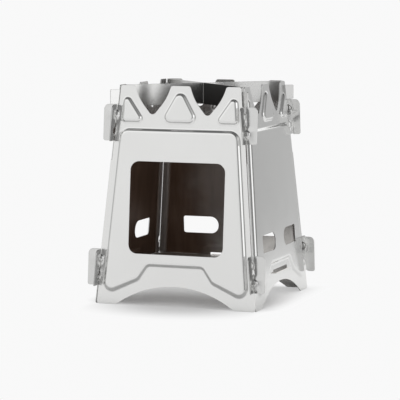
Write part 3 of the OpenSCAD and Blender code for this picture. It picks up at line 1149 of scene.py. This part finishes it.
@dataclass
class FirePlate:
    """The perforated plate low in the tower, in millimetres: x to the right, y to the back."""

    underside: float = 22.8
    thickness: float = 0.8
    half: float = 61.66
    chamfer: float = 5.0
    tab_w: float = 32.8
    tab_reach: float = 65.526
    hole_d: float = 6.0
    hole_points: int = 32
    pitch: float = 13.0
    rows: int = 3
    edge_break: float = 0.1
    span: float = 8.0

    def outline(self) -> Outline:
        """Chamfered square with tabs to the right, back and left.

        Returns:
            The outline, from the front edge.
        """
        cut, half, tab, reach = self.half - self.chamfer, self.half, self.tab_w / 2, self.tab_reach
        rows = [(-cut, -half), (cut, -half), (half, -cut)]
        rows += [(half, -tab), (reach, -tab), (reach, tab), (half, tab), (half, cut), (cut, half)]
        rows += [(tab, half), (tab, reach), (-tab, reach), (-tab, half), (-cut, half), (-half, cut)]
        rows += [(-half, tab), (-reach, tab), (-reach, -tab), (-half, -tab), (-half, -cut)]
        return Outline(np.array(rows), np.zeros(len(rows)))

    def build(self) -> bpy.types.Object:
        """Makes the plate with its ash holes.

        Returns:
            The plate's object.
        """
        edge, beside = cut_edge(self.outline(), self.edge_break, span=self.span)
        edges, relief = [edge], [beside]
        radius = self.hole_d / 2
        steps = (np.arange(-self.rows, self.rows + 1) * self.pitch).tolist()
        for x, y in ((x, y) for x in steps for y in steps):
            edges.append(Ring(circle(x, y, radius, self.hole_points), broken=self.edge_break))
            relief.append(Ring(circle(x, y, radius + self.edge_break, self.hole_points)))
        plane = Plane(np.array([0, 0, MM * (self.underside + self.thickness)]), *np.eye(3))
        return Sheet("fire_plate_skin", self.thickness, plane, edges, relief).build()


@dataclass
class PotPlate:
    """One diagonal plate of the pot stand, in millimetres: x along the diagonal, y up."""

    name: str
    turn: float
    slot_end: float
    opens_up: bool
    thickness: float = 1.0
    low: float = 151.0
    high: float = 167.5
    reach: float = 69.487
    lug_reach: float = 78.52
    lug_low: float = 152.82
    lug_high: float = 164.1
    lug_r: float = 1.0
    slot_half: float = 0.65
    edge_break: float = 0.1

    def outline(self) -> Outline:
        """Plate with a lug at each end and its cross slot.

        Returns:
            The outline, from the slot where it opens below and from the right end where it opens above.
        """
        r = self.lug_r
        right = [
            (self.reach, self.low, r),
            (self.reach, self.lug_low, 0),
            (self.lug_reach, self.lug_low, r),
            (self.lug_reach, self.lug_high, r),
            (self.reach, self.lug_high, 0),
            (self.reach, self.high, r),
        ]
        half, end = self.slot_half, self.slot_end
        if self.opens_up:
            slot = [(half, self.high, 0), (half, end, 0)]
            return Outline.of(right + slot + other_half(slot) + other_half(right))
        slot = [(-half, self.low, 0), (-half, end, 0)]
        return Outline.of(slot + other_half(slot) + right + other_half(right))

    def build(self) -> bpy.types.Object:
        """Makes the plate on its diagonal.

        Returns:
            The plate's object.
        """
        turn = math.radians(self.turn)
        along = np.array([math.cos(turn), math.sin(turn), 0.0])
        out = np.array([math.sin(turn), -math.cos(turn), 0.0])
        plane = Plane(MM * self.thickness / 2 * out, along, np.array([0.0, 0.0, 1.0]), out)
        edge, beside = cut_edge(self.outline(), self.edge_break)
        return Sheet(self.name, self.thickness, plane, [edge], [beside]).build()


@dataclass
class Stove:
    """The whole stove: its four panels, fire plate and pot stand."""

    panel: Panel = field(default_factory=Panel)
    fire_plate: FirePlate = field(default_factory=FirePlate)
    lower: PotPlate = field(default_factory=lambda: PotPlate("pot_plate_lower_skin", 45, 159.15, True))
    upper: PotPlate = field(default_factory=lambda: PotPlate("pot_plate_upper_skin", -45, 159.35, False))

    def build(self) -> None:
        """Makes every piece, dresses it and sets it on its body in place of its solid."""
        shop = SteelShop(MM * self.panel.base_w / 2, self.panel.lean)
        outside, within, edge = (shop.material(f) for f in (PANEL_OUTSIDE, PANEL_INSIDE, CUT_EDGE))
        pot, ash = shop.material(POT_PLATE), shop.material(FIRE_PLATE)
        for side in Side:
            piece = self.panel.build(side)
            self.dress(piece, [outside, within, edge])
            self.settle(piece, STOVE_BODY, f"{side.name.lower()}_panel", "panel_steel")
        piece = self.fire_plate.build()
        self.dress(piece, [ash, ash, ash])
        self.settle(piece, STOVE_BODY, "fire_plate", "fire_plate_steel")
        for plate, body in ((self.lower, "lower_stand_plate"), (self.upper, "upper_stand_plate")):
            piece = plate.build()
            self.dress(piece, [pot, pot, edge])
            self.settle(piece, body, plate.name.removesuffix("_skin"), "pot_stand_steel")

    @staticmethod
    def dress(piece: bpy.types.Object, steels: list[bpy.types.Material]) -> None:
        """Gives a sheet piece its outer, inner and edge materials."""
        for steel in steels:
            piece.data.materials.append(steel)

    @staticmethod
    def settle(piece: bpy.types.Object, body: str, node: str, slot: str) -> None:
        """Rides a piece on its body in place of its solid and reports it.

        Args:
            piece: the piece.
            body: body that it moves with.
            node: solid that it stands for.
            slot: material slot of the solid; not used.
        """
        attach(piece, body)
        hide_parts(node)
        LOG.info("%s: %d triangles on %s", piece.name, len(piece.data.polygons), body)


# Studio


@dataclass
class Studio:
    """Pale floor, soft light and a long-lens camera a little above the stove, to the right of its front.

    Lengths are in metres. A span or rise is where a value changes, along y on the floor or with the height of
    a direction in the world. The apron is a darker strip of the floor in front, painted shade which shows in
    the metal and in the shadow. The lifts are shares of the shadow that are taken away: everywhere, to the
    back and to the front. The levels of the ground, walls, horizon, band, ceiling and backlight are for what
    the metal reflects, and the walls' are given by azimuth in degrees, from the front towards the right.
    """

    azimuth: float = 20.19
    elevation: float = 5.85
    distance: float = 1.6376
    aim: Triple = (0.0, 0.0, 0.09)
    focal_px: float = 2091.9
    centre_px: Span = (203.7, 181.5)
    sensor: float = 36.0
    clip_end: float = 200.0
    floor_half: float = 0.45
    floor_front: float = 0.25
    floor_back: float = 0.25
    floor_roughness: float = 0.9
    paper: float = 0.945
    apron: float = 0.54
    apron_far: Span = (-0.22, -0.09)
    apron_near: Span = (-0.075, -0.04)
    contact_lift: float = 0.12
    back_lift: float = 0.4
    back_span: Span = (-0.025, 0.035)
    front_lift: float = 0.22
    front_span: Span = (-0.030, 0.016)
    shadow_span: Span = (0.010, 0.064)
    shadow_sides: float = 3.0
    shadow_narrow: float = 0.73
    narrow_span: Span = (-0.022, 0.008)
    foot_half: float = 0.060
    ceiling: float = 0.2
    ceiling_rise: Span = (0.35, 0.75)
    ground: float = 0.84
    ground_fall: Span = (-0.092, -0.078)
    horizon: float = 0.94
    horizon_rise: Span = (0.0, 0.06)
    band: float = 1.18
    band_rise: Span = (0.12, 0.26)
    backlight: float = 0.95
    backlight_rise: Span = (0.10, 0.24)
    backlight_width: Span = (0.70, 0.88)
    walls: tuple[Span, ...] = (
        (-180, 0.66), (-140, 0.65), (-110, 0.50), (-88, 0.50), (-62, 0.85), (-30, 0.92), (-15, 0.90),
        (-7, 0.74), (1, 0.36), (10, 0.25), (30, 0.25), (40, 0.65), (48, 1.00), (58, 1.00), (66, 1.32),
        (75, 1.32), (82, 0.95), (90, 0.85), (98, 0.55), (105, 0.25), (144, 0.23), (151, 0.37), (156, 0.49),
        (160, 0.55), (164, 0.59), (180, 0.66),
    )

    def camera(self) -> None:
        """Makes the camera. Its lens is the focal length in pixels over the image width, times the sensor."""
        az, el = math.radians(self.azimuth), math.radians(self.elevation)
        back = Vector((math.sin(az) * math.cos(el), -math.cos(az) * math.cos(el), math.sin(el)))
        data = bpy.data.cameras.new("camera")
        data.sensor_width = self.sensor
        data.lens = self.focal_px / IMAGE_PX * self.sensor
        data.shift_x = (IMAGE_PX / 2 - self.centre_px[0]) / IMAGE_PX
        data.shift_y = (self.centre_px[1] - IMAGE_PX / 2) / IMAGE_PX
        data.clip_end = self.clip_end
        camera = bpy.data.objects.new("camera", data)
        camera.location = Vector(self.aim) + self.distance * back
        camera.rotation_euler = (-back).to_track_quat("-Z", "Y").to_euler()
        bpy.context.scene.collection.objects.link(camera)
        bpy.context.scene.camera = camera

    def floor(self) -> None:
        """Makes the plain pale floor, as bright as the world behind it outside the shadow."""
        half, front, back = self.floor_half, -self.floor_front, self.floor_back
        points = np.array([[-half, front, 0], [half, front, 0], [half, back, 0], [-half, back, 0]])
        mesh = bpy.data.meshes.new("floor")
        mesh.from_pydata(points, [], [(0, 1, 2, 3)])
        mesh.materials.append(self.floor_material())
        floor = bpy.data.objects.new("floor", mesh)
        bpy.context.scene.collection.objects.link(floor)

    def floor_material(self) -> bpy.types.Material:
        """Makes the floor's finish: paper with its apron of painted shade, which the camera sees even beyond
        the shadow.

        Returns:
            The material.
        """
        pale = bpy.data.materials.new("floor_pale")
        pale.use_nodes = True
        n = Nodes(pale.node_tree)
        shader = pale.node_tree.nodes["Principled BSDF"]
        shader.inputs["Roughness"].default_value = self.floor_roughness
        shader.inputs["Specular IOR Level"].default_value = 0.0
        x, y, _ = n.axes(n.add("ShaderNodeTexCoord").outputs["Object"])
        # The apron is painted shade: a darker floor near the stove for the metal to reflect, which also
        # deepens the shadow.
        far = n.ramp(y, *self.apron_far, self.paper, self.apron)
        near = n.ramp(y, *self.apron_near, self.apron, self.paper)
        n.link(n.larger(far, near), shader.inputs["Base Color"])
        white = n.add("ShaderNodeEmission", {"Color": (self.paper, self.paper, self.paper, 1.0)})
        seen = n.add("ShaderNodeLightPath").outputs["Is Camera Ray"]
        lift = n.times(seen, n.minus(1.0, self.shade(n, x, y)))
        mix = n.add("ShaderNodeMixShader", {0: lift, 1: shader.outputs[0], 2: white.outputs[0]})
        n.link(mix.outputs[0], pale.node_tree.nodes["Material Output"].inputs["Surface"])
        return pale

    def shade(self, n: Nodes, x: Socket, y: Socket) -> Socket:
        """Strength of the shadow on the floor, which fades with the distance from the feet.

        The distance is the root of the summed squares of three lengths: to the front; to the sides or the
        back, counted shadow_sides times; and x times a share that grows to the front. So the shadow reaches
        forwards and is narrower there.

        Args:
            n: nodes of the floor's material.
            x: place on the floor to the right.
            y: place on the floor to the back.

        Returns:
            The strength, from 0 to 1.
        """
        beside = n.minus(n.math("ABSOLUTE", x), self.foot_half)
        behind = n.minus(y, self.foot_half)
        ahead = n.minus(n.times(y, -1.0), self.foot_half)
        aside = n.times(n.larger(n.larger(beside, behind), 0.0), self.shadow_sides)
        narrow = n.times(x, n.ramp(ahead, *self.narrow_span, 0.0, self.shadow_narrow))
        front = n.larger(ahead, 0.0)
        squares = [n.times(length, length) for length in (aside, narrow, front)]
        away = n.math("SQRT", n.plus(n.plus(squares[0], squares[1]), squares[2]))
        shade = n.ramp(away, *self.shadow_span, 1.0 - self.contact_lift, 0.0)
        shade = n.times(shade, n.ramp(ahead, *self.front_span, 1.0, 1.0 - self.front_lift))
        return n.times(shade, n.ramp(y, *self.back_span, 1.0, 1.0 - self.back_lift))

    def light(self) -> None:
        """Makes the soft world light: even for the floor, and for metal a studio with bright and dark walls.

        A wall's level follows its azimuth and is multiplied by the levels of the horizon, the band above it
        and the ceiling. A backlight stands behind the stove, and a grey ground lies beyond the floor.
        """
        world = bpy.data.worlds.new("studio")
        world.use_nodes = True
        bpy.context.scene.world = world
        n = Nodes(world.node_tree)
        x, y, z = n.axes(n.add("ShaderNodeTexCoord").outputs["Generated"])
        behind = n.times(n.ramp(y, *self.backlight_width), n.ramp(z, *self.backlight_rise))
        wall = n.mix(behind, self.wall_levels(n, x, y), self.backlight)
        for rise, low, high in (
            (self.horizon_rise, self.horizon, 1.0),
            (self.band_rise, 1.0, self.band),
            (self.ceiling_rise, 1.0, self.ceiling),
        ):
            wall = n.times(wall, n.ramp(z, *rise, low, high))
        metal = n.mix(n.ramp(z, *self.ground_fall), self.ground, wall)
        path = n.add("ShaderNodeLightPath").outputs
        even = n.mix(path["Is Camera Ray"], 1.0, self.paper)
        sky = world.node_tree.nodes["Background"].inputs
        sky["Color"].default_value = (1.0, 1.0, 1.0, 1.0)
        n.link(n.mix(path["Is Glossy Ray"], even, metal), sky["Strength"])

    def wall_levels(self, n: Nodes, x: Socket, y: Socket) -> Socket:
        """Level of the walls, on a colour ramp that runs once round from the back, over the left first.

        Args:
            n: nodes of the world.
            x: part of the direction to the right.
            y: part of the direction to the back.

        Returns:
            The level in that direction.
        """
        azimuth = n.math("ARCTAN2", x, n.times(y, -1.0))
        turned = n.plus(n.math("DIVIDE", azimuth, math.tau), RAMP_FRONT)
        walls = n.add("ShaderNodeValToRGB", {0: turned})
        stops = walls.color_ramp.elements
        places = [degrees / FULL_TURN + RAMP_FRONT for degrees, _ in self.walls]
        for place in places[1:-1]:
            stops.new(place)
        for stop, place, (_, level) in zip(stops, places, self.walls):
            stop.position = place
            stop.color = (level, level, level, 1.0)
        return walls.outputs[0]


def main() -> None:
    logging.basicConfig(level=logging.INFO, format="%(name)s: %(message)s")
    scene = bpy.context.scene
    scene.view_settings.view_transform = "Standard"
    studio = Studio()
    studio.camera()
    studio.floor()
    studio.light()
    Stove().build()


if __name__ == "__main__":
    main()
